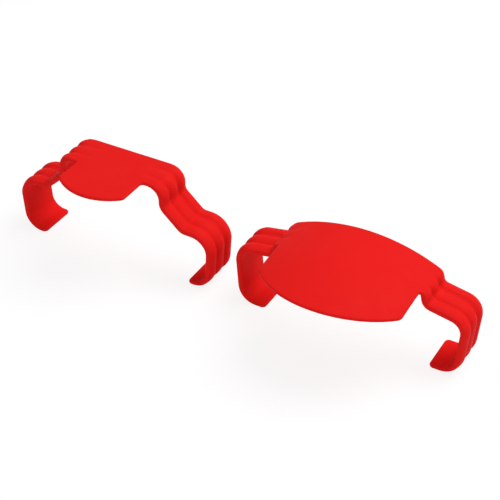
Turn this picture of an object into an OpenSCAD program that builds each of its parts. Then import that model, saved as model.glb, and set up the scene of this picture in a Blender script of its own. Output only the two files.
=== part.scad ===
// A set of two clip-on bridge grips, each a single moulding, standing end to end.
// A strip of even wall runs from hook to hook. It carries a pad on top, steps down to a shoulder at
// each end, turns down the arm and curls under into a hook. Rounded ridges run side by side along
// the outside of both arms. They rise out of the pad and die away under the hook.

/* [Both grips] */
// Width of the strip that makes the arms and hooks
arm_w = 19; // [14:0.5:26]
// Wall thickness of the moulding
wall = 1.8; // [1.7:0.1:2.6]
// Height of a ridge above the wall
ridge_h = 1.5; // [0.6:0.1:1.6]
// Width of the middle ridge
ridge_mid_w = 7.2; // [5:0.2:9]
// Bare rim between an arm's edge and its outer ridges
ridge_rim = 1.3; // [1.2:0.1:2.2]
// Radius of the corners at a hook's tip
tip_r = 2; // [1.5:0.25:2.5]
// Free gap between the two grips
pair_gap = 10.6; // [2:0.1:40]
// How far the flat pad grip stands in front of the line of the domed one
pair_step = 0.9; // [0:0.1:5]

/* [Flat pad grip] */
// Height of the pad's top above the ground
flat_h = 46.5; // [38:0.5:56]
// Span between the corners of the two shoulders
flat_span = 100.4; // [88:0.2:125]
// Length of the top between the corners where the arms turn down
flat_top_l = 53; // [46:0.2:60]
// Bare strip between the pad's end and the bend where the arm turns down
flat_shelf = 2.2; // [2.1:0.1:6]
// How far the pad's corners stand out from the arm's edge
flat_pad_out = 14.2; // [6:0.2:20]
// Bow of the pad's free edge beyond its corners
flat_pad_bow = 6; // [1:0.5:10]
// Radius of the bend where the arm turns down
flat_top_r = 7.5; // [5:0.1:8.5]
// Radius over the ridge tops in that bend
flat_crest_r = 6.2; // [5:0.1:10]
// How far the knee lies below the top
flat_knee_drop = 10.6; // [10:0.1:13]
// How far the knee lies outside the top's corner
flat_knee_out = 0; // [0:0.1:3]
// Length of the shoulder, from the step to its corner
flat_shoulder_l = 14.1; // [13:0.1:18]
// Fall of the shoulder, from the step to its corner
flat_shoulder_fall = 0.2; // [0:0.1:3]
// Height of the shoulder's corner above the ground
flat_shoulder_h = 27; // [18:0.1:30]
// How far the arm leans in between the shoulder and the foot
flat_lean = 1.8; // [0:0.1:4]
// Length of the hook from the foot's corner to its tip
flat_hook_l = 10; // [10:0.1:14]
// Radius of the shoulder
flat_shoulder_r = 9.1; // [5:0.1:10]
// Radius of the bend under the hook
flat_hook_r = 7.8; // [4:0.1:8]
// Radius over the ridge tops in the hollow bend at the knee
flat_knee_r = 3; // [1:0.1:6]
// Radius over the ridge tops in the hollow bend at the step
flat_step_r = 1.9; // [1:0.1:4]

/* [Domed pad grip] */
// Height of the crown above the ground
domed_h = 43.7; // [40:0.1:52]
// Rise of the crown above the pad's ends
domed_rise = 7; // [3:0.1:9]
// Span between the corners of the two shoulders
domed_span = 104.1; // [96:0.1:126]
// Length of the domed pad between its ends
domed_top_l = 64; // [52:0.2:70]
// How far the pad's corners stand out from the arm's edge
domed_pad_out = 17.1; // [10:0.1:24]
// Bow of the pad's free edge beyond its corners
domed_pad_bow = 15.3; // [4:0.1:18]
// Radius of the pad's crown across its width
domed_cross_r = 130; // [60:1:400]
// Distance past the pad's end to the corner where the arm turns down
domed_lead = 1.3; // [1:0.1:3]
// Radius of the bend where the arm turns down
domed_top_r = 2.2; // [2:0.1:2.6]
// Radius over the ridge tops in that bend
domed_crest_r = 3.7; // [3:0.1:4]
// Length of the shoulder, from the step to its corner
domed_shoulder_l = 17.6; // [14:0.1:18]
// Fall of the shoulder, from the step to its corner
domed_shoulder_fall = 3.2; // [0:0.1:5]
// Height of the shoulder's corner above the ground
domed_shoulder_h = 27.2; // [22:0.1:29]
// How far the arm leans in between the shoulder and the foot
domed_lean = 2.2; // [0:0.1:5]
// Length of the hook from the foot's corner to its tip
domed_hook_l = 11.8; // [11:0.1:16]
// Radius of the shoulder
domed_shoulder_r = 7.2; // [4:0.1:9]
// Radius of the bend under the hook
domed_hook_r = 7.6; // [4:0.1:8.5]
// Radius over the ridge tops in the hollow bend at the step
domed_step_r = 1.5; // [0.5:0.1:3]

/* [Pad corners] */
// Radius of the flat pad's outer corners
flat_corner_r = 2.4; // [1.5:0.1:5]
// Radius of the domed pad's outer corners
domed_corner_r = 4.2; // [1.5:0.1:6]
// Radius of the inner corner between the flat pad and the arm
notch_r = 1.2; // [1:0.1:3]

/* [Hidden] */
$fn = 64;
red = [0.91, 0.12, 0.10];
half_w = arm_w / 2;
// Rounding of the moulding's free edges, and where it begins across the arm
edge_r = wall / 2;
rim_y = half_w - edge_r;
// Shares of the wall's spare thickness that the ridges' root and their sunken ends take
root_share = 0.6;
sink_share = 0.1;
// Depth of the ridges' root in the wall, and how far below the surface they start and end
ridge_root = root_share * (wall - ridge_h);
ridge_sink = sink_share * (wall - ridge_h);
// Floor of the grooves between ridges, above the wall
groove_floor = 0.15;
// Length that a ridge runs on under the surface at its two ends
ridge_run = 1;
// Angle by which a ridge's bends run on, so that they end apart from the strip's
ridge_spread = 2;
// Length by which a straight enters the bends beside it, and how much slimmer it is, so that they join
lap = 0.2;
slim = 0.05;
// Clearance by which one shape passes another that it joins or trims
past = 1;
// Points along a rounded corner of a plate's slab, which its bead covers
slab_steps = 6;

// Rounded paths: a list of corners with one radius for each. Outside lies on the left of travel.

function heading(p, q) = atan2(q[1] - p[1], q[0] - p[0]);
function left_of(p, q) = [p[1] - q[1], q[0] - p[0]] / norm(q - p);
function towards(p, q, d) = p + d * (q - p) / norm(q - p);
function within_half_turn(a) = a > 180 ? a - 360 : a < -180 ? a + 360 : a;
function turn(path, i) =
    within_half_turn(heading(path[i], path[i + 1]) - heading(path[i - 1], path[i]));
function setback(path, radii, i) = radii[i] * tan(abs(turn(path, i)) / 2);
function bend_start(path, radii, i) = towards(path[i], path[i - 1], setback(path, radii, i));
function bend_end(path, radii, i) = towards(path[i], path[i + 1], setback(path, radii, i));
function bend_centre(path, radii, i) =
    bend_start(path, radii, i) + sign(turn(path, i)) * radii[i] * left_of(path[i - 1], path[i]);

// A path and its mirror image, run through from one end to the other
function mirrored(path) = [for (i = [len(path) - 1 : -1 : 0]) [-path[i][0], path[i][1]]];
function reversed(radii) = [for (i = [len(radii) - 1 : -1 : 0]) radii[i]];

// The straights keep to a path moved outwards, each by its own lift
function lifted_corner(path, lifts, i) =
    let (n = left_of(path[i - 1], path[i]))
    let (m = left_of(path[i], path[i + 1]))
    let (a = lifts[i - 1])
    let (b = lifts[i])
    path[i] + [a * m[1] - b * n[1], b * n[0] - a * m[0]] / (n[0] * m[1] - n[1] * m[0]);
function lifted(path, lifts) =
    let (last = len(path) - 1)
    [for (i = [0 : last])
        i == 0 ? path[0] + lifts[0] * left_of(path[0], path[1])
        : i == last ? path[last] + lifts[last - 1] * left_of(path[last - 1], path[last])
        : lifted_corner(path, lifts, i)];
function lifted_radii(path, radii, lift) =
    [for (i = [0 : len(path) - 1])
        i == 0 || i == len(path) - 1 ? 0 : radii[i] - sign(turn(path, i)) * lift];

// Sweep along a path: the first child is the section in the bends, the second that in the straights.
// A section's x points outwards and its y across the path.
// Each bend runs on by the angle spread at both its ends.
module along(path, radii, spread = 0) {
    last = len(path) - 1;
    for (i = [0 : last - 1]) {
        start = i == 0 ? path[0] : bend_end(path, radii, i);
        stop = i == last - 1 ? path[last] : bend_start(path, radii, i + 1);
        translate(towards(start, stop, -lap))
            rotate(heading(path[i], path[i + 1]))
            rotate(120, [1, 1, 1])
            linear_extrude(norm(stop - start) + 2 * lap)
            children(1);
    }
    for (i = [1 : last - 1]) {
        bend = turn(path, i);
        before = heading(path[i - 1], path[i]);
        translate(bend_centre(path, radii, i))
            if (bend < 0)
                rotate(before + 90 + bend - spread)
                rotate_extrude(angle = 2 * spread - bend)
                translate([radii[i], 0])
                children(0);
            else
                rotate(before - 90 - spread)
                rotate_extrude(angle = bend + 2 * spread)
                translate([radii[i], 0])
                mirror([1, 0])
                children(0);
    }
}

// The strip's section: a slab with rounded edges, with its outer face on the path
module strip_section(inset) {
    translate([inset - wall, -rim_y]) square([wall - 2 * inset, 2 * rim_y]);
    for (side = [-1, 1])
        translate([-edge_r, side * rim_y])
            intersection() {
                circle(edge_r - inset);
                translate([-wall, side < 0 ? -wall : 0]) square([2 * wall, wall]);
            }
}

// Section of the row of ridges, with their tops on the path
module ridge_section(inset) {
    row_w = arm_w - 2 * ridge_rim;
    side_w = (row_w - ridge_mid_w) / 2;
    side_y = (row_w - side_w) / 2;
    swell = ridge_h - groove_floor;
    translate([-ridge_h, 0]) intersection() {
        union() {
            translate([-ridge_root, -row_w / 2])
                square([ridge_root + groove_floor - inset, row_w]);
            for (ridge = [[-side_y, side_w], [0, ridge_mid_w], [side_y, side_w]]) {
                swell_r = (pow(ridge[1] / 2, 2) + pow(swell, 2)) / (2 * swell);
                translate([ridge_h - swell_r, ridge[0]]) circle(swell_r - inset);
            }
        }
        translate([-ridge_root, inset - row_w / 2])
            square([2 * ridge_h, row_w - 2 * inset]);
    }
}

// The ridges of one arm follow its path at their own height, with a radius of their own in the first
// bend. They sink into the wall at both ends.
module arm_ridges(path, radii, crest_r) {
    last = len(path) - 1;
    line = lifted(path, [for (i = [0 : last - 1]) i == 0 || i == last - 1 ? -ridge_sink : ridge_h]);
    lifted_rounds = lifted_radii(path, radii, ridge_h);
    rounds = [for (i = [0 : last]) i == 1 ? crest_r : lifted_rounds[i]];
    run_up = setback(path, radii, 1) + norm(line[1] - path[1]) + ridge_run;
    tops = [for (i = [0 : last])
        i == 0 ? towards(line[1], line[0], run_up)
        : i == last ? towards(bend_end(line, rounds, last - 1), line[last], ridge_run)
        : line[i]];
    rotate([90, 0, 0]) along(tops, rounds, ridge_spread) {
        ridge_section(0);
        ridge_section(slim);
    }
}

// A plate whose free edge is rounded: a slab within the path of its rim, and a bead along that path
module rimmed_plate(rim, radii, closing) {
    rim_points = [for (i = [1 : len(rim) - 2])
        for (k = [0 : slab_steps])
            let (from = bend_start(rim, radii, i) - bend_centre(rim, radii, i))
            let (a = turn(rim, i) * k / slab_steps)
            bend_centre(rim, radii, i)
                + [from[0] * cos(a) - from[1] * sin(a), from[0] * sin(a) + from[1] * cos(a)]];
    translate([0, 0, slim])
        linear_extrude(wall - 2 * slim)
        polygon(concat([rim[0]], rim_points, [rim[len(rim) - 1]], closing));
    translate([0, 0, edge_r])
        along(rim, radii) {
            circle(edge_r - 2 * slim);
            circle(edge_r - 3 * slim);
        }
}

// A hook's rounded tip
module hook_tip(tip) {
    start_x = tip[0] + tip_r + past;
    end_x = tip[0] + edge_r;
    rim = [[start_x, -rim_y], [end_x, -rim_y], [end_x, rim_y], [start_x, rim_y]];
    rimmed_plate(rim, [0, tip_r - edge_r, tip_r - edge_r, 0], []);
}

// The ridges and the hook's tip of the arm on one side
module arm_fittings(path, radii, crest_r) {
    arm_ridges(path, radii, crest_r);
    hook_tip(path[len(path) - 1] - [tip_r, 0]);
}

// The strip from hook to hook along its whole path, with what its two arms carry
module strip(whole, whole_radii, arm, arm_radii, crest_r) {
    rotate([90, 0, 0]) along(whole, whole_radii) {
        strip_section(0);
        strip_section(slim);
    }
    arm_fittings(arm, arm_radii, crest_r);
    mirror([1, 0, 0]) arm_fittings(arm, arm_radii, crest_r);
}

// A pad's free edge in plan: an arc between two rounded corners

function pad_edge(half_l, entry_y, corner_y, bow) =
    let (apex_y = corner_y - half_l * tan(2 * atan(bow / half_l)))
    [[half_l, entry_y], [half_l, corner_y], [0, apex_y], [-half_l, corner_y], [-half_l, entry_y]];
function pad_edge_r(edge, corner_r) =
    let (corner = corner_r * tan(abs(turn(edge, 1)) / 2))
    (norm(edge[2] - edge[1]) - corner - 2 * lap) / tan(abs(turn(edge, 2)) / 2);

// Flat pad grip

flat_x = flat_span / 2;
flat_top = [flat_top_l / 2, flat_h];
flat_knee = flat_top + [flat_knee_out, -flat_knee_drop];
flat_shoulder = [flat_x, flat_shoulder_h];
flat_step = flat_shoulder + [-flat_shoulder_l, flat_shoulder_fall];
flat_foot = [flat_x - flat_lean, 0];
flat_hook_end = flat_foot + [tip_r - flat_hook_l, 0];
flat_arm = [[0, flat_h], flat_top, flat_knee, flat_step, flat_shoulder, flat_foot, flat_hook_end];
flat_radii =
    [0, flat_top_r, flat_knee_r + ridge_h, flat_step_r + ridge_h, flat_shoulder_r, flat_hook_r, 0];
flat_reach_x = bend_centre(flat_arm, flat_radii, 4)[0] + flat_shoulder_r + ridge_h;
flat_pad_x = bend_start(flat_arm, flat_radii, 1)[0] - flat_shelf;

module flat_pad() {
    edge = pad_edge(flat_pad_x - edge_r, -rim_y, -rim_y - flat_pad_out, flat_pad_bow);
    corner_r = flat_corner_r - edge_r;
    root_r = notch_r + edge_r;
    root_x = flat_pad_x + root_r;
    rim = concat([[root_x, -rim_y]], edge, [[-root_x, -rim_y]]);
    radii = [0, root_r, corner_r, pad_edge_r(edge, corner_r), corner_r, root_r, 0];
    translate([0, 0, flat_h - wall]) rimmed_plate(rim, radii, [[-root_x, 0], [root_x, 0]]);
}

module flat_pad_grip() {
    half = [for (i = [1 : len(flat_arm) - 1]) flat_arm[i]];
    half_radii = [for (i = [1 : len(flat_radii) - 1]) flat_radii[i]];
    both_radii = concat(reversed(half_radii), half_radii);
    color(red) translate([-pair_gap / 2 - flat_reach_x, -pair_step, 0] + pair_shift) {
        flat_pad();
        strip(concat(mirrored(half), half), both_radii, flat_arm, flat_radii, flat_crest_r);
    }
}

// Domed pad grip

domed_x = domed_span / 2;
domed_end = [domed_top_l / 2, domed_h - domed_rise];
domed_r = (pow(domed_end[0], 2) + pow(domed_rise, 2)) / (2 * domed_rise);
domed_slope = asin(domed_end[0] / domed_r);
// The tangents at the dome's two ends meet above its crown
domed_apex = [0, domed_h - domed_r + domed_r / cos(domed_slope)];
domed_shoulder = [domed_x, domed_shoulder_h];
domed_step = domed_shoulder + [-domed_shoulder_l, domed_shoulder_fall];
// The lead grows where a steep drop needs more room for the bend at its end
domed_way = [cos(domed_slope), -sin(domed_slope)];
domed_bend = -domed_slope - heading(domed_end + domed_lead * domed_way, domed_step);
domed_run = max(domed_lead, domed_top_r * tan(domed_bend / 2) + lap);
domed_top = domed_end + domed_run * domed_way;
domed_foot = [domed_x - domed_lean, 0];
domed_hook_end = domed_foot + [tip_r - domed_hook_l, 0];
domed_arm = [domed_apex, domed_top, domed_step, domed_shoulder, domed_foot, domed_hook_end];
domed_radii =
    [domed_r, domed_top_r, domed_step_r + ridge_h, domed_shoulder_r, domed_hook_r, 0];
domed_reach_x = bend_centre(domed_arm, domed_radii, 3)[0] + domed_shoulder_r + ridge_h;

domed_edge = pad_edge(domed_end[0], -rim_y, -half_w - domed_pad_out, domed_pad_bow);
domed_edge_radii =
    [0, domed_corner_r, pad_edge_r(domed_edge, domed_corner_r), domed_corner_r, 0];
domed_reach_y = domed_edge_radii[2] - bend_centre(domed_edge, domed_edge_radii, 2)[1];

// The sliver between a path's sharp corner and its arc, taken a little past that corner
module corner_sliver(path, radii, i) {
    centre = bend_centre(path, radii, i);
    difference() {
        polygon([
            bend_start(path, radii, i),
            towards(path[i], centre, -past),
            bend_end(path, radii, i)]);
        translate(centre) circle(radii[i]);
    }
}

// Plan of the domed pad
module domed_plan() {
    difference() {
        polygon(domed_edge);
        for (i = [1 : 3]) corner_sliver(domed_edge, domed_edge_radii, i);
    }
}

// Section across the dome, rooted in the strip: it falls away on an arc towards the free edge
module dome_section() {
    root_y = half_w - wall;
    reach = domed_reach_y - root_y + past;
    translate([-domed_cross_r, -root_y]) intersection() {
        difference() {
            circle(domed_cross_r - slim);
            circle(domed_cross_r - wall + slim);
        }
        translate([0, -reach]) square([domed_cross_r, reach]);
    }
}

module domed_pad() {
    sweep = domed_slope + asin(past / domed_r);
    intersection() {
        translate([0, 0, domed_h - domed_r])
            rotate([-90, 0, 0])
            rotate(-90 - sweep)
            rotate_extrude(angle = 2 * sweep)
            translate([domed_r, 0])
            dome_section();
        linear_extrude(domed_h + past) domed_plan();
    }
}

module domed_pad_grip() {
    half = [for (i = [1 : len(domed_arm) - 1]) domed_arm[i]];
    half_radii = [for (i = [1 : len(domed_radii) - 1]) domed_radii[i]];
    both_radii = concat(reversed(half_radii), domed_radii);
    color(red) translate([pair_gap / 2 + domed_reach_x, 0, 0] + pair_shift) {
        domed_pad();
        strip(concat(mirrored(half), domed_arm), both_radii, domed_arm, domed_radii, domed_crest_r);
    }
}

// The origin lies on the ground, at the middle of the box round the set
pair_shift = [flat_reach_x - domed_reach_x, (domed_reach_y - half_w) / 2, 0];

flat_pad_grip();
domed_pad_grip();
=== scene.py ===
"""Looks of a set of two clip-on bridge grips, each one red plastic moulding, standing end to end.

Each grip is one closed skin. A grid runs along the strip from hook tip to hook tip and across it.
The outer face carries the ridges, the inner face lies one wall below, and a rounded rim joins the
two.
"""

import math

import bpy
import numpy as np
from bpy.props import FloatProperty, FloatVectorProperty, PointerProperty
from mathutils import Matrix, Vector


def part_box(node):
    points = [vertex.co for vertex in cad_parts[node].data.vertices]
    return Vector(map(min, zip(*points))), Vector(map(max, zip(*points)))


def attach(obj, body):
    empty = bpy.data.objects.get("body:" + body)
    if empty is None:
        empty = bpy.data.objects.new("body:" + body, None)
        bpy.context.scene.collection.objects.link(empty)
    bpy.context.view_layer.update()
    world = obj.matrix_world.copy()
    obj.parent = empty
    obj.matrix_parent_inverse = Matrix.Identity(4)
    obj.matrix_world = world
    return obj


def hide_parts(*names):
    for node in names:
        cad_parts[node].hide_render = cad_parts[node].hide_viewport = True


bl_info = {
    "name": "Clip-on bridge grips",
    "version": (1, 0, 0),
    "blender": (4, 5, 0),
    "location": "3D View > Sidebar > Bridge grips",
    "description": "Builds two ridged bridge grips, their moulded red plastic and a white studio",
    "category": "Object",
}

MM = 0.001
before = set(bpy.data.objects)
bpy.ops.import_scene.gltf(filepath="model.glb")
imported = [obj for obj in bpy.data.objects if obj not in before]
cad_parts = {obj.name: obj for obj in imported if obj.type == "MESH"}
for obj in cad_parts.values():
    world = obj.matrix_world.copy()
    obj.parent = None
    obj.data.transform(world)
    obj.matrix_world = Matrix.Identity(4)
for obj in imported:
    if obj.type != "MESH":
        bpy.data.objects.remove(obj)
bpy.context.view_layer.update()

# How finely the grips are drawn
ARM_STEP = 1.2 * MM  # longest step between two stations on an arm
ARM_TURN = math.radians(4)  # most that an arm bends between two stations
TIP_STATIONS = 8  # stations round the corner of a hook's tip
PAD_STATIONS = 171  # stations along a pad's rim
PAD_CROWDING = 2.5 * MM  # extra rim that a pad's corner counts for, for every radian of its turn
PAD_LINES = 18  # lines between a pad's rim and the row of ridges
SIDE_FAN = 4 * MM  # length of the row of ridges over which the stations from a pad's side end
CORNER_FAN = 5.5 * MM  # the same for a pad's side and corner together
MIDDLE_LINES = 21  # lines over the middle ridge
SIDE_LINES = 15  # lines over each outer ridge
FAR_LINES = [0.1, 0.2, 0.35, 0.6, 1]  # places of the lines from the row of ridges to the far rim
RIM_STEPS = 8  # faces round the rim
CREST_POINTS = 2400  # points at which the height of the ridges' tops is read
TROUGH_REACH = 3  # trough lengths past a pad's end beyond which no trough is cut

# The plastic
ABS_IOR = 1.54  # refractive index
FLOW_DETAIL, FLOW_WARP = 3.0, 0.8  # finer cloudiness inside the flow marks, and how far they curl
FLOW_LOW, FLOW_HIGH = 0.3, 0.7  # range that most of the flow marks' noise lies in
GRAIN_DETAIL, GRAIN_STRENGTH = 2.0, 0.6  # finer grain inside the grain, and how much of it shows

# The studio
SENSOR_W = 36  # width of the camera's sensor in millimetres
NEAREST, FARTHEST = 0.01, 20  # distances in metres between which the camera sees
FLOOR_REACH = 3.0  # half the floor's width in metres
FLOOR_GAP = 0.05 * MM  # gap that keeps the floor and the hooks' faces apart


def linear(hex_colour):
    """Linear red, green and blue of an sRGB hex value: the lowest values are divided by 12.92, and
    the rest follow the standard curve of power 2.4."""
    srgb = np.array([int(hex_colour[i : i + 2], 16) for i in (1, 3, 5)]) / 255
    curve = np.where(srgb <= 0.04045, srgb / 12.92, ((srgb + 0.055) / 1.055) ** 2.4)
    return tuple(float(c) for c in curve)


def length(name, millimetres, description):
    """A length that a user may change, given in millimetres and held in metres."""
    metres = millimetres * MM
    return FloatProperty(
        name=name, description=description, default=metres, min=0.0, precision=5, unit="LENGTH"
    )


def colour(name, hex_colour, description):
    """A colour that a user may change, given as sRGB hex and held as linear values."""
    rgb = linear(hex_colour)
    return FloatVectorProperty(
        name=name, description=description, default=rgb, min=0.0, max=1.0, subtype="COLOR"
    )


def share(name, value, description):
    """A plain number from nothing to one that a user may change."""
    return FloatProperty(
        name=name, description=description, default=value, min=0.0, max=1.0, subtype="FACTOR"
    )


def spot(name, value, description):
    """A place in space that a user may change, given in millimetres and held in metres."""
    metres = [v * MM for v in value]
    return FloatVectorProperty(
        name=name, description=description, default=metres, subtype="TRANSLATION", unit="LENGTH"
    )


def angle(name, degrees, description):
    """An angle that a user may change, given in degrees and held in radians."""
    radians = math.radians(degrees)
    return FloatProperty(name=name, description=description, default=radians, subtype="ANGLE")


def power(name, value, description):
    """A lamp's power in watts that a user may change."""
    return FloatProperty(name=name, description=description, default=value, min=0.0, unit="POWER")


class StripSizes(bpy.types.PropertyGroup):
    """Sizes that both grips share"""

    arm_w: length("Arm width", 19, "Width of the strip that makes the arms and hooks")
    wall: length("Wall", 1.8, "Wall thickness of the moulding")
    ridge_h: length("Ridge height", 1.5, "Height of a ridge above the wall")
    ridge_mid_w: length("Middle ridge", 7.2, "Width of the middle one of the three ridges")
    ridge_rim: length("Ridge rim", 1, "Width of the rounded rim along an arm's edge")
    side_crest: length("Side crest", 6.1, "Distance from an arm's middle to its outer ridges' tops")
    groove_floor: length("Groove floor", 0.05, "Height of the grooves' floor above the wall")
    ridge_sink: length("Ridge sink", 0.03, "How far below the surface the ridges start and end")
    ridge_melt: length("Ridge melt", 0.07, "Softness of the line where a ridge runs into the wall")
    trough_l: length("Trough length", 7, "How far a groove runs out onto the pad")
    trough_deep: length("Trough depth", 0.5, "Depth of a groove where the pad ends")
    tip_r: length("Tip radius", 2, "Radius of the corners at a hook's tip")
    notch_r: length("Notch radius", 1.2, "Radius of the inner corner between a pad and the arm")


class FlatGripSizes(bpy.types.PropertyGroup):
    """Sizes of the flat pad grip"""

    h: length("Height", 46.5, "Height of the pad's top above the ground")
    span: length("Span", 100.4, "Span between the corners of the two shoulders")
    top_l: length("Top length", 53, "Length of the top between the corners where it turns down")
    shelf: length("Shelf", 2.2, "Bare strip between the pad's end and the bend at the top's corner")
    pad_out: length("Pad reach", 14.2, "How far the pad's corners stand out from the arm's edge")
    pad_bow: length("Pad bow", 6, "Bow of the pad's free edge beyond its corners")
    corner_r: length("Corner radius", 2.4, "Radius of the pad's outer corners")
    top_r: length("Top radius", 7.5, "Radius of the bend where the arm turns down")
    crest_r: length("Crest radius", 6.2, "Radius over the ridge tops in that bend")
    knee_drop: length("Knee drop", 10.6, "How far the knee lies below the top")
    knee_out: length("Knee reach", 0, "How far the knee lies outside the top's corner")
    shoulder_l: length("Shoulder length", 14.1, "Length of the shoulder from step to corner")
    shoulder_fall: length("Shoulder fall", 0.2, "Fall of the shoulder from step to corner")
    shoulder_h: length("Shoulder height", 27, "Height of the shoulder's corner above the ground")
    lean: length("Lean", 1.8, "How far the arm leans in between the shoulder and the foot")
    hook_l: length("Hook length", 10, "Length of the hook from the foot's corner to its tip")
    shoulder_r: length("Shoulder radius", 9.1, "Radius of the shoulder")
    hook_r: length("Hook radius", 7.8, "Radius of the bend under the hook")
    knee_r: length("Knee radius", 3, "Radius over the ridge tops in the hollow bend at the knee")
    step_r: length("Step radius", 1.9, "Radius over the ridge tops in the hollow bend at the step")


class DomedGripSizes(bpy.types.PropertyGroup):
    """Sizes of the domed pad grip"""

    h: length("Height", 43.7, "Height of the crown above the ground")
    rise: length("Rise", 7, "Rise of the crown above the pad's ends")
    span: length("Span", 104.1, "Span between the corners of the two shoulders")
    top_l: length("Pad length", 64, "Length of the domed pad between its ends")
    pad_out: length("Pad reach", 17.1, "How far the pad's corners stand out from the arm's edge")
    pad_bow: length("Pad bow", 15.3, "Bow of the pad's free edge beyond its corners")
    corner_r: length("Corner radius", 4.2, "Radius of the pad's outer corners")
    cross_r: length("Cross radius", 130, "Radius of the pad's crown across its width")
    lead: length("Lead", 1.3, "Distance past the pad's end to the corner where the arm turns down")
    top_r: length("Top radius", 2.2, "Radius of the bend where the arm turns down")
    crest_r: length("Crest radius", 3.7, "Radius over the ridge tops in that bend")
    shoulder_l: length("Shoulder length", 17.6, "Length of the shoulder from step to corner")
    shoulder_fall: length("Shoulder fall", 3.2, "Fall of the shoulder from step to corner")
    shoulder_h: length("Shoulder height", 27.2, "Height of the shoulder's corner above the ground")
    lean: length("Lean", 2.2, "How far the arm leans in between the shoulder and the foot")
    hook_l: length("Hook length", 11.8, "Length of the hook from the foot's corner to its tip")
    shoulder_r: length("Shoulder radius", 7.2, "Radius of the shoulder")
    hook_r: length("Hook radius", 7.6, "Radius of the bend under the hook")
    step_r: length("Step radius", 1.5, "Radius over the ridge tops in the hollow bend at the step")


class PlasticLook(bpy.types.PropertyGroup):
    """Look of the red plastic"""

    red: colour("Red", "#E6211F", "Colour of the plastic")
    deep_red: colour("Deep red", "#DF1D1B", "Colour in the faint flow marks")
    flow: length("Flow marks", 11, "Width of the faint flow marks")
    grain: length("Grain", 0.5, "Width of the mould's spark grain, drawn coarser than it is")
    grain_depth: length("Grain depth", 0.006, "Depth of the mould's spark grain")
    smooth: share("Lowest roughness", 0.38, "Roughness of the sheen where the mould was smoothest")
    rough: share("Highest roughness", 0.5, "Roughness of the sheen where the mould was roughest")
    gloss: share("Specular level", 0.01, "Strength of the sheen")


class StudioLook(bpy.types.PropertyGroup):
    """Look of the floor, the lamps and the camera"""

    floor: colour("Floor", "#F4F4F4", "Colour of the floor")
    shadow: share("Shadow", 0.18, "Share of the floor's light and shadow that the camera sees")
    floor_glow: share("Floor glow", 0.85, "Light that the floor shows the camera on top of that")
    ambient: share("Ambient", 0.33, "Strength of the even light from all round")
    lamp_w: length("Lamp width", 900, "Width of both soft lamps")
    back_place: spot("Back lamp", (350, 420, 1000), "Place of the soft lamp behind and above")
    back_power: power("Back lamp power", 10.5, "Power of the lamp behind the set")
    front_place: spot("Front lamp", (150, -900, 450), "Place of the soft lamp in front")
    front_power: power("Front lamp power", 2.2, "Power of the lamp in front of the set")
    lens: length("Lens", 97.8, "Focal length of the camera on a sensor 36 mm wide")
    distance: length("Distance", 618, "Distance from the camera to the point it looks at")
    aim: spot("Aim", (-8.2, 41.33, 0), "Point that the camera looks at")
    azimuth: angle("Azimuth", 29.55, "Turn of the camera round the set")
    elevation: angle("Elevation", 36.5, "Rise of the camera above the floor")


class RoundedPath:
    """Straights joined by arcs, from a list of corners with a radius for each inner one.

    Every straight and every arc keeps its start, its heading there and its curvature. A point at
    the distance u along it lies at the end of a chord from its start. With h = curvature * u / 2,
    which is half the turn, the chord is u * sin(h) / h long and points h away from the heading."""

    def __init__(self, corners, radii):
        corners, radii = np.asarray(corners, float), np.asarray(radii, float)
        legs = np.diff(corners, axis=0)
        size = np.hypot(legs[:, 0], legs[:, 1])
        ways = legs / size[:, None]
        headings = np.arctan2(legs[:, 1], legs[:, 0])
        self.turns = (np.diff(headings) + np.pi) % (2 * np.pi) - np.pi
        back = np.concatenate([[0], radii * np.tan(abs(self.turns) / 2), [0]])
        count = 2 * len(legs) - 1
        self.length, self.heading, self.curvature = np.zeros((3, count))
        self.start = np.zeros((count, 2))
        self.length[0::2] = np.maximum(size - back[:-1] - back[1:], 0)
        self.length[1::2] = radii * abs(self.turns)
        self.heading[0::2], self.heading[1::2] = headings, headings[:-1]
        self.curvature[1::2] = np.sign(self.turns) / radii
        self.start[0::2] = corners[:-1] + ways * back[:-1, None]
        self.start[1::2] = corners[1:-1] - ways[:-1] * back[1:-1, None]
        self.mark = np.concatenate([[0], np.cumsum(self.length)])

    def at(self, distance):
        """Points at distances along the path, and outward normals, which lie left of travel."""
        piece = np.searchsorted(self.mark, distance, side="right") - 1
        piece = np.clip(piece, 0, len(self.length) - 1)
        u = distance - self.mark[piece]
        half = self.curvature[piece] * u / 2
        way = self.heading[piece] + half
        chord = u * np.sinc(half / np.pi)
        point = self.start[piece] + chord[..., None] * np.stack([np.cos(way), np.sin(way)], -1)
        return point, np.stack([-np.sin(way + half), np.cos(way + half)], -1)

    def stations(self, first, last, step, turn):
        """Distances from first to last, at most one step and one turn apart."""
        parts = []
        for a, b, bend in zip(self.mark[:-1], self.mark[1:], self.curvature):
            a, b = max(a, first), min(b, last)
            if b > a:
                count = math.ceil(max((b - a) / step, abs(bend) * (b - a) / turn))
                parts.append(np.linspace(a, b, count, endpoint=False))
        return np.concatenate(parts + [[last]])


def mirrored(half):
    """Corners of a path from the far left to the middle: the right half, turned round."""
    return half[::-1] * [-1, 1]


def lifted(corners, lifts):
    """Corners of a path whose straights have moved outwards, each by its own lift.

    Two straights with normals n and m and lifts a and b meet again at the corner plus the shift
    whose part along n is a and whose part along m is b."""
    legs = np.diff(corners, axis=0)
    normal = np.stack([-legs[:, 1], legs[:, 0]], 1) / np.hypot(legs[:, 0], legs[:, 1])[:, None]
    n, m, a, b = normal[:-1], normal[1:], lifts[:-1], lifts[1:]
    cross = n[:, 0] * m[:, 1] - n[:, 1] * m[:, 0]
    shift = np.stack([a * m[:, 1] - b * n[:, 1], b * n[:, 0] - a * m[:, 0]], 1) / cross[:, None]
    first, last = corners[0] + lifts[0] * normal[0], corners[-1] + lifts[-1] * normal[-1]
    return np.concatenate([[first], corners[1:-1] + shift, [last]])


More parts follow.
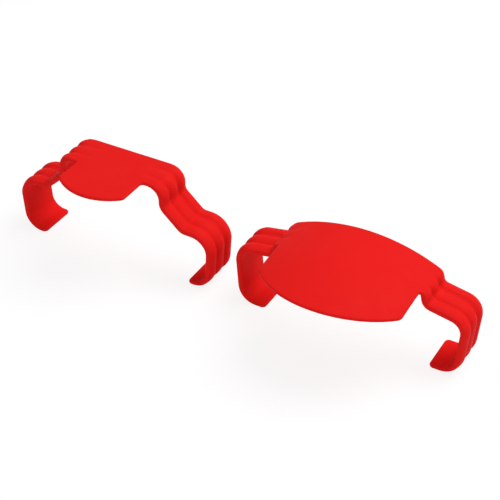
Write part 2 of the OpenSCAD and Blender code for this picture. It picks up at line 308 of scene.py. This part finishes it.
def crest_heights(half, radii, crest_r, strip, from_tip):
    """Height of the ridges' tops above the wall, at distances from a hook's tip.

    The tops follow a path of their own. It is sunk on the pad and under the hook, raised by a
    ridge's height elsewhere, and its bends are that much wider or tighter, except the first, which
    has the radius crest_r. Every point of it is set against the nearest point of the wall's path,
    where its height is read along the normal."""
    wall = RoundedPath(half, radii)
    lifts = np.full(len(half) - 1, strip.ridge_h)
    lifts[[0, -1]] = -strip.ridge_sink
    rounds = np.concatenate([[crest_r], (radii - np.sign(wall.turns) * strip.ridge_h)[1:]])
    tops = RoundedPath(lifted(half, lifts), rounds)
    ground = np.linspace(0, wall.mark[-1], CREST_POINTS)
    base, normal = wall.at(ground)
    crest = tops.at(np.linspace(0, tops.mark[-1], CREST_POINTS))[0]
    away = crest[:, None] - base[None]
    nearest = np.argmin((away**2).sum(-1), 1)
    height = (away[np.arange(len(crest)), nearest] * normal[nearest]).sum(-1)
    order = np.argsort(nearest, kind="stable")
    return np.interp(wall.mark[-1] - from_tip, ground[nearest][order], height[order])


def ridge_share(y, strip):
    """Height of the row of ridges across the arm, as a share of a ridge's height: an arc from the
    top of each ridge, where it is one, to the groove beside it. Outwards, the outer ridges fall
    with the middle one's arc until the arm's rim cuts them off. An arc over half a width w that
    falls by f has the radius (w * w + f * f) / (2 * f)."""
    out = abs(y)
    middle_half = strip.ridge_mid_w / 2
    inner_flank = (out > middle_half) & (out < strip.side_crest)
    half = np.where(inner_flank, strip.side_crest - middle_half, middle_half)
    across = np.where(out < middle_half, out, out - strip.side_crest)
    swell = strip.ridge_h - strip.groove_floor
    radius = (half**2 + swell**2) / (2 * swell)
    return 1 - (radius - np.sqrt(np.maximum(radius**2 - across**2, 0))) / strip.ridge_h


def softly_above(value, melt):
    """The value where it is above nothing, and nothing where it isn't, with that corner rounded."""
    return np.where(value > melt, value, np.maximum(value + melt, 0) ** 2 / (4 * melt))


def arm_corners(grip):
    """Corners of an arm below the top: the step, the shoulder, the foot and the hook's tip."""
    shoulder = np.array([grip.span / 2, grip.shoulder_h])
    foot = np.array([grip.span / 2 - grip.lean, 0])
    step = shoulder + [-grip.shoulder_l, grip.shoulder_fall]
    return step, shoulder, foot, foot - [grip.hook_l, 0]


def pad_rim(half_l, corner_y, bow, outline_r, strip):
    """Path of a pad's rim in plan, from one notch beside the arm to the other: a hollow round, a
    side, a rounded corner and the bow of the free edge, then the same back. It lies half a wall
    inside the pad's outline, so its corners are that much tighter and its notches wider. The bow's
    arc leaves the corners at twice the angle whose tangent is bow over half the length."""
    edge = strip.wall / 2
    rim_y = strip.arm_w / 2 - edge
    corner_r, root_r = outline_r - edge, strip.notch_r + edge
    slope = 2 * math.atan(bow / half_l)
    apex_y = corner_y - half_l * math.tan(slope)
    bow_back = half_l / math.cos(slope) - corner_r * math.tan(math.pi / 4 - slope / 2)
    bow_r = bow_back / math.tan(slope)
    side = np.array([[half_l, corner_y], [half_l, -rim_y], [half_l + root_r, -rim_y]])
    corners = np.concatenate([mirrored(side), [[0, apex_y]], side])
    return RoundedPath(corners, [root_r, corner_r, bow_r, corner_r, root_r])


def skin(half, radii, crest_r, arch_r, rim, develop, droop, strip):
    """Points of a grip's outer and inner face, as two grids of stations along the strip by lines
    across it.

    Along an arm, a station is a straight line across the strip. Along the pad, the stations' near
    ends follow the pad's rim and their other ends the strip, so the lines between fan out. A
    point's height is the height of the ridges' tops times the share across the row, both softly
    above nothing, less the troughs in which the grooves run out on the pad. Its place is the path's
    point plus the height times the path's normal. An arched top has one radius in arch_r. The
    function develop gives the distance along the path for a point of the plan, and droop how far
    the pad falls across its width."""
    edge = strip.wall / 2
    rim_y = strip.arm_w / 2 - edge
    row_y = strip.arm_w / 2 - strip.ridge_rim
    path = RoundedPath(
        np.concatenate([mirrored(half[1:]), half[: len(arch_r)], half[1:]]),
        np.concatenate([radii[::-1], arch_r, radii]),
    )
    middle = path.mark[-1] / 2

    # The pad's stations, closer together where its rim turns
    pad_x = rim.start[-1][0]
    side_x = -rim.start[2][0]
    weight = np.concatenate([[0], np.cumsum(rim.length * (1 + PAD_CROWDING * abs(rim.curvature)))])
    walk = np.interp(np.linspace(0, weight[-1], PAD_STATIONS), weight, rim.mark)
    rim_point = rim.at(walk)[0]
    corner_x, bow_x = side_x - SIDE_FAN, side_x - CORNER_FAN
    stops = np.array([pad_x, pad_x, side_x, corner_x, bow_x, bow_x])
    row_x = np.interp(walk, rim.mark, np.concatenate([-stops, stops[::-1]]))

    # The arms' stations: the tip's round corner first, then the path's own straights and bends
    tip_r = strip.tip_r - edge
    swing = np.linspace(0, np.pi / 2, TIP_STATIONS + 1)[:-1]
    tip = edge + tip_r * (1 - np.cos(swing))
    arm_end = middle - develop(np.array(pad_x), np.array(0.0))
    run = path.stations(edge + tip_r, arm_end, ARM_STEP, ARM_TURN)[:-1]
    arm = np.concatenate([tip, run])
    reach = np.concatenate([rim_y - tip_r * (1 - np.sin(swing)), np.full(len(run), rim_y)])
    arm_x = pad_x + arm_end - arm
    near_x = np.concatenate([-arm_x, rim_point[:, 0], arm_x[::-1]])
    near_y = np.concatenate([-reach, rim_point[:, 1], -reach[::-1]])
    line_x = np.concatenate([-arm_x, row_x, arm_x[::-1]])
    narrow = np.concatenate([reach, np.full(len(walk), rim_y), reach[::-1]]) / rim_y

    # Lines along the strip: the near part, the row of ridges and the far rim
    fan = np.linspace(0, 1, PAD_LINES + 1)[:-1]
    groove_y = strip.ridge_mid_w / 2
    side = np.linspace(groove_y, row_y, SIDE_LINES)
    row = np.concatenate([-side[:0:-1], np.linspace(-groove_y, groove_y, MIDDLE_LINES), side[1:]])
    far = row_y + (rim_y - row_y) * np.array(FAR_LINES)
    lines = np.concatenate([row, far])
    fan_x = near_x[:, None] + (line_x - near_x)[:, None] * fan
    fan_y = near_y[:, None] + (-row_y * narrow - near_y)[:, None] * fan
    x = np.concatenate([fan_x, np.repeat(line_x[:, None], len(lines), 1)], 1)
    y = np.concatenate([fan_y, narrow[:, None] * lines], 1)

    # The ridges' height at every point
    along = middle + develop(x, y)
    place, normal = path.at(along)
    from_tip = np.minimum(along, path.mark[-1] - along)
    crest = crest_heights(half, radii, crest_r, strip, from_tip.ravel()).reshape(y.shape)
    melt = strip.ridge_melt
    row_share = softly_above(ridge_share(y, strip), melt / strip.ridge_h)
    ridge = softly_above(crest, melt) * row_share

    # The grooves begin before the ridges, as shallow troughs that run out on the pad. A trough
    # deepens along a smooth step up to the pad's end, and is given up as the ridges rise. It is
    # kept off the hooks, where the ridges sink again
    past_pad = (abs(along - middle) - middle + arm_end) / strip.trough_l
    run_in = np.where(past_pad < TROUGH_REACH, np.clip(past_pad + 1, 0, 1), 0)
    trough = strip.trough_deep * run_in**2 * (3 - 2 * run_in)
    trough *= np.clip(1 - crest / strip.ridge_h, 0, 1)
    ridge -= trough * np.where(abs(y) < strip.side_crest, 1 - row_share, 0)

    # The outer face, and the inner face one wall below it
    faces = []
    for height in (ridge - droop(y), -strip.wall - droop(y)):
        moved = place + height[..., None] * normal
        faces.append(np.stack([moved[..., 0], y, moved[..., 1]], -1))
    return faces


def closed_skin(outer, inner):
    """Points and faces of the closed skin round two grids.

    The rim is half an ellipse about the middle of the wall, half as deep as the two grids lie apart
    at their closest, carried round the grids' edge. It leaves the outer face in the direction
    square to the edge and to the wall, and comes back to the inner face half a turn later."""
    rows, lines = outer.shape[:2]
    number = np.arange(rows * lines).reshape(rows, lines)
    edge = np.concatenate([number[:, 0], number[-1, 1:], number[-2::-1, -1], number[0, -2:0:-1]])
    top, bottom = outer.reshape(-1, 3)[edge], inner.reshape(-1, 3)[edge]
    centre, wall = (top + bottom) / 2, (top - bottom) / 2
    ahead = np.roll(centre, -1, 0) - np.roll(centre, 1, 0)
    out = np.cross(ahead, wall)
    out *= np.linalg.norm(wall, axis=1).min() / np.linalg.norm(out, axis=1)[:, None]
    swing = np.linspace(np.pi / 2, -np.pi / 2, RIM_STEPS + 1)[1:-1, None, None]
    bead = centre + np.cos(swing) * out + np.sin(swing) * wall
    points = np.concatenate([outer.reshape(-1, 3), inner.reshape(-1, 3), bead.reshape(-1, 3)])
    square = [number[:-1, :-1], number[1:, :-1], number[1:, 1:], number[:-1, 1:]]
    quads = np.stack(square, -1).reshape(-1, 4)
    count = rows * lines
    beads = 2 * count + np.arange(bead.shape[0] * len(edge)).reshape(bead.shape[0], -1)
    rings = np.concatenate([edge[None], beads, edge[None] + count])
    after = np.roll(rings, -1, 1)
    band = np.stack([rings[:-1], rings[1:], after[1:], after[:-1]], -1).reshape(-1, 4)
    faces = np.concatenate([quads, quads[:, ::-1] + count, band])
    a, b, c, d = (points[faces[:, k]] for k in range(4))
    volume = (np.cross(a, b) * c + np.cross(a, c) * d).sum()
    return points, faces if volume > 0 else faces[:, ::-1]


def add_node(tree, kind, inputs=None, **settings):
    """Adds a node with its settings, and its inputs as values or as other nodes' outputs."""
    node = tree.nodes.new(kind)
    for name, value in settings.items():
        setattr(node, name, value)
    for name, value in (inputs or {}).items():
        if isinstance(value, bpy.types.NodeSocket):
            tree.links.new(value, node.inputs[name])
        else:
            node.inputs[name].default_value = value
    return node


def new_tree(material):
    """The empty node tree of a material or world."""
    material.use_nodes = True
    material.node_tree.nodes.clear()
    return material.node_tree


def sees_white(tree):
    """Socket that is one for rays that show a white set: camera, glossy and transmission rays."""
    rays = add_node(tree, "ShaderNodeLightPath").outputs
    white = rays["Is Camera Ray"]
    for other in ("Is Glossy Ray", "Is Transmission Ray"):
        either = add_node(tree, "ShaderNodeMath", {0: white, 1: rays[other]}, operation="MAXIMUM")
        white = either.outputs[0]
    return white


def moulded_red_abs(look):
    """ABS, injection-moulded in a finely spark-eroded mould and coloured through. It gives the eye
    an even, saturated red, with hardly any sheen in soft light. The flow of the melt leaves the
    faintest cloudiness in the colour, and the mould's grain breaks up what sheen there is. That
    grain is 0.1 mm wide, too fine to show, so it is drawn at half a millimetre."""
    name = "moulded_red_abs"
    if name in bpy.data.materials:
        return bpy.data.materials[name]
    material = bpy.data.materials.new(name)
    tree = new_tree(material)
    place = add_node(tree, "ShaderNodeTexCoord").outputs["Object"]
    flow = add_node(
        tree,
        "ShaderNodeTexNoise",
        {"Vector": place, "Scale": 1 / look.flow, "Detail": FLOW_DETAIL, "Distortion": FLOW_WARP},
    )

    # Of a mix node's sockets, inputs 6 and 7 and output 2 hold colours
    tint = add_node(
        tree,
        "ShaderNodeMix",
        {"Factor": flow.outputs["Fac"], 6: (*look.red, 1), 7: (*look.deep_red, 1)},
        data_type="RGBA",
    )
    grain = add_node(
        tree,
        "ShaderNodeTexNoise",
        {"Vector": place, "Scale": 1 / look.grain, "Detail": GRAIN_DETAIL},
    )
    sheen = add_node(
        tree,
        "ShaderNodeMapRange",
        {
            "Value": flow.outputs["Fac"],
            "From Min": FLOW_LOW,
            "From Max": FLOW_HIGH,
            "To Min": look.smooth,
            "To Max": look.rough,
        },
    )
    bump = add_node(
        tree,
        "ShaderNodeBump",
        {"Height": grain.outputs["Fac"], "Strength": GRAIN_STRENGTH, "Distance": look.grain_depth},
    )
    plastic = add_node(
        tree,
        "ShaderNodeBsdfPrincipled",
        {
            "Base Color": tint.outputs[2],
            "Roughness": sheen.outputs["Result"],
            "IOR": ABS_IOR,
            "Specular IOR Level": look.gloss,
            "Normal": bump.outputs["Normal"],
        },
    )
    add_node(tree, "ShaderNodeOutputMaterial", {"Surface": plastic.outputs["BSDF"]})
    return material


def put_grip(context, name, node, body, faces):
    """Puts a grip's skin where its CAD node stands: the node's middle from hook to hook, and its
    arms against the node's far side."""
    scene = context.scene
    low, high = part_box(node)
    shift = np.array([(low.x + high.x) / 2, high.y - scene.grip_strip.arm_w / 2, 0.0])
    points, quads = closed_skin(faces[0] + shift, faces[1] + shift)
    mesh = bpy.data.meshes.new(name)
    mesh.from_pydata(points.tolist(), [], quads.tolist())
    mesh.polygons.foreach_set("use_smooth", np.ones(len(quads), bool))
    mesh.validate()
    mesh.update()
    piece = bpy.data.objects.new(name, mesh)
    scene.collection.objects.link(piece)
    mesh.materials.append(moulded_red_abs(scene.grip_plastic))
    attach(piece, body)
    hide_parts(node)


class GRIPS_OT_flat_pad_grip(bpy.types.Operator):
    """Builds the grip with the flat pad"""

    bl_idname = "grips.flat_pad_grip"
    bl_label = "Flat pad grip"

    def execute(self, context):
        strip, flat = context.scene.grip_strip, context.scene.grip_flat
        edge = strip.wall / 2
        top = np.array([flat.top_l / 2, flat.h])
        knee = top + [flat.knee_out, -flat.knee_drop]
        half = np.array([[0, flat.h], top, knee, *arm_corners(flat)])
        hollow = np.array([flat.knee_r, flat.step_r]) + strip.ridge_h
        radii = np.array([flat.top_r, *hollow, flat.shoulder_r, flat.hook_r])
        bend_x = RoundedPath(half, radii).start[1][0]
        corner_y = edge - strip.arm_w / 2 - flat.pad_out
        rim = pad_rim(bend_x - flat.shelf - edge, corner_y, flat.pad_bow, flat.corner_r, strip)

        # The top is straight and the pad level, so a point's x is its distance and nothing droops
        faces = skin(half, radii, flat.crest_r, [], rim, lambda x, y: x, lambda y: 0 * y, strip)
        put_grip(context, "flat_pad_moulding", "flat_pad_grip", "flat_grip", faces)
        return {"FINISHED"}


class GRIPS_OT_domed_pad_grip(bpy.types.Operator):
    """Builds the grip with the domed pad"""

    bl_idname = "grips.domed_pad_grip"
    bl_label = "Domed pad grip"

    def execute(self, context):
        strip, domed = context.scene.grip_strip, context.scene.grip_domed
        edge = strip.wall / 2
        half_l = domed.top_l / 2
        arch_r = (half_l**2 + domed.rise**2) / (2 * domed.rise)
        slope = math.asin(half_l / arch_r)
        crown = [0, domed.h - arch_r + arch_r / math.cos(slope)]
        top = [
            half_l + domed.lead * math.cos(slope),
            domed.h - domed.rise - domed.lead * math.sin(slope),
        ]
        half = np.array([crown, top, *arm_corners(domed)])
        hollow = domed.step_r + strip.ridge_h
        radii = np.array([domed.top_r, hollow, domed.shoulder_r, domed.hook_r])

        def droop(y):
            """Fall of the pad below the strip: an arc across it, from a wall inside its edge."""
            out = np.maximum(-y - strip.arm_w / 2 + strip.wall, 0)
            return domed.cross_r - np.sqrt(domed.cross_r**2 - out**2)

        side_x = half_l - edge

        def develop(x, y):
            """Distance along the strip from the crown to a point of the plan: the arch's radius
            times arcsin(x / radius at that point), and straight on past the pad's end."""
            inside = arch_r * np.arcsin(np.clip(x, -side_x, side_x) / (arch_r - droop(y)))
            return inside + x - np.clip(x, -side_x, side_x)

        # The rim lies half a wall inside the pad's outline
        fall = 2 * math.atan(domed.pad_bow / half_l)
        corner_y = -strip.arm_w / 2 - domed.pad_out + edge / math.cos(fall) - edge * math.tan(fall)
        rim = pad_rim(side_x, corner_y, side_x * math.tan(fall / 2), domed.corner_r, strip)
        faces = skin(half, radii, domed.crest_r, [arch_r], rim, develop, droop, strip)
        put_grip(context, "domed_pad_moulding", "domed_pad_grip", "domed_grip", faces)
        return {"FINISHED"}


class GRIPS_OT_studio(bpy.types.Operator):
    """Builds the white floor, the soft light and the camera"""

    bl_idname = "grips.studio"
    bl_label = "Studio"

    def execute(self, context):
        scene, look = context.scene, context.scene.grip_studio
        scene.view_settings.view_transform = "Standard"

        # Camera at the photograph's angle
        data = bpy.data.cameras.new("camera")
        data.lens, data.sensor_width = look.lens / MM, SENSOR_W
        data.clip_start, data.clip_end = NEAREST, FARTHEST
        camera = bpy.data.objects.new("camera", data)
        back = Vector(
            (
                math.sin(look.azimuth) * math.cos(look.elevation),
                -math.cos(look.azimuth) * math.cos(look.elevation),
                math.sin(look.elevation),
            )
        )
        camera.location = Vector(look.aim) + back * look.distance
        camera.rotation_euler = back.to_track_quat("Z", "Y").to_euler()
        scene.collection.objects.link(camera)
        scene.camera = camera

        # Matt white paper: it lights the set from below as white paper does. The camera sees a part
        # of its soft shadow, and a glow that keeps the paper white
        paper = bpy.data.materials.new("matt_white_paper")
        tree = new_tree(paper)
        matt = add_node(tree, "ShaderNodeBsdfDiffuse", {"Color": (*look.floor, 1)})
        dim = look.shadow * Vector(look.floor)
        faint = add_node(tree, "ShaderNodeBsdfDiffuse", {"Color": (*dim, 1)})
        glow = add_node(tree, "ShaderNodeEmission", {"Strength": look.floor_glow})
        seen = add_node(tree, "ShaderNodeAddShader", {0: faint.outputs[0], 1: glow.outputs[0]})
        both = add_node(
            tree,
            "ShaderNodeMixShader",
            {0: sees_white(tree), 1: matt.outputs[0], 2: seen.outputs[0]},
        )
        add_node(tree, "ShaderNodeOutputMaterial", {"Surface": both.outputs[0]})
        sheet = bpy.data.meshes.new("paper_floor")
        corner = np.array([[-1, -1, 0], [1, -1, 0], [1, 1, 0], [-1, 1, 0]]) * FLOOR_REACH
        sheet.from_pydata((corner - [0, 0, FLOOR_GAP]).tolist(), [], [[0, 1, 2, 3]])
        sheet.materials.append(paper)
        floor = bpy.data.objects.new("paper_floor", sheet)
        scene.collection.objects.link(floor)

        # Even light from all round, which the camera and the sheen see as white
        scene.world = scene.world or bpy.data.worlds.new("white_room")
        tree = new_tree(scene.world)
        level = add_node(
            tree,
            "ShaderNodeMapRange",
            {"Value": sees_white(tree), "To Min": look.ambient, "To Max": 1.0},
        )
        room = add_node(
            tree,
            "ShaderNodeBackground",
            {"Color": (1, 1, 1, 1), "Strength": level.outputs["Result"]},
        )
        add_node(tree, "ShaderNodeOutputWorld", {"Surface": room.outputs[0]})

        # A wide lamp behind and above, which shades the grooves, and a weak one in front, which
        # lights the near edges
        for name, place, watts in (
            ("back_lamp", look.back_place, look.back_power),
            ("front_lamp", look.front_place, look.front_power),
        ):
            light = bpy.data.lights.new(name, "AREA")
            light.shape, light.size, light.energy = "DISK", look.lamp_w, watts
            lamp = bpy.data.objects.new(name, light)
            lamp.location = place
            lamp.rotation_euler = Vector(place).to_track_quat("Z", "Y").to_euler()
            scene.collection.objects.link(lamp)
        return {"FINISHED"}


class GRIPS_PT_panel(bpy.types.Panel):
    """Lists the pieces and the studio"""

    bl_idname = "GRIPS_PT_panel"
    bl_label = "Bridge grips"
    bl_space_type = "VIEW_3D"
    bl_region_type = "UI"
    bl_category = "Bridge grips"

    def draw(self, context):
        """Draws a button for each operator, and under it the values that it uses."""
        for operator, groups in STEPS:
            self.layout.operator(operator.bl_idname)
            for group in groups:
                box = self.layout.box()
                sizes = getattr(context.scene, group)
                for name in sizes.bl_rna.properties.keys():
                    if name not in ("rna_type", "name"):
                        box.prop(sizes, name)


GROUPS = {
    "grip_strip": StripSizes,
    "grip_flat": FlatGripSizes,
    "grip_domed": DomedGripSizes,
    "grip_plastic": PlasticLook,
    "grip_studio": StudioLook,
}
STEPS = [
    (GRIPS_OT_flat_pad_grip, ["grip_strip", "grip_flat"]),
    (GRIPS_OT_domed_pad_grip, ["grip_domed", "grip_plastic"]),
    (GRIPS_OT_studio, ["grip_studio"]),
]
CLASSES = [*GROUPS.values(), *(operator for operator, _ in STEPS), GRIPS_PT_panel]


def register():
    """Adds the operators and the panel, and puts the values on the scene."""
    for each in CLASSES:
        bpy.utils.register_class(each)
    for name, group in GROUPS.items():
        setattr(bpy.types.Scene, name, PointerProperty(type=group))


def unregister():
    """Takes away what register added."""
    for name in GROUPS:
        delattr(bpy.types.Scene, name)
    for each in reversed(CLASSES):
        bpy.utils.unregister_class(each)


def main():
    """Builds the pieces and the studio."""
    register()
    bpy.ops.grips.flat_pad_grip()
    bpy.ops.grips.domed_pad_grip()
    bpy.ops.grips.studio()
    bpy.context.view_layer.update()


if __name__ == "__main__":
    main()
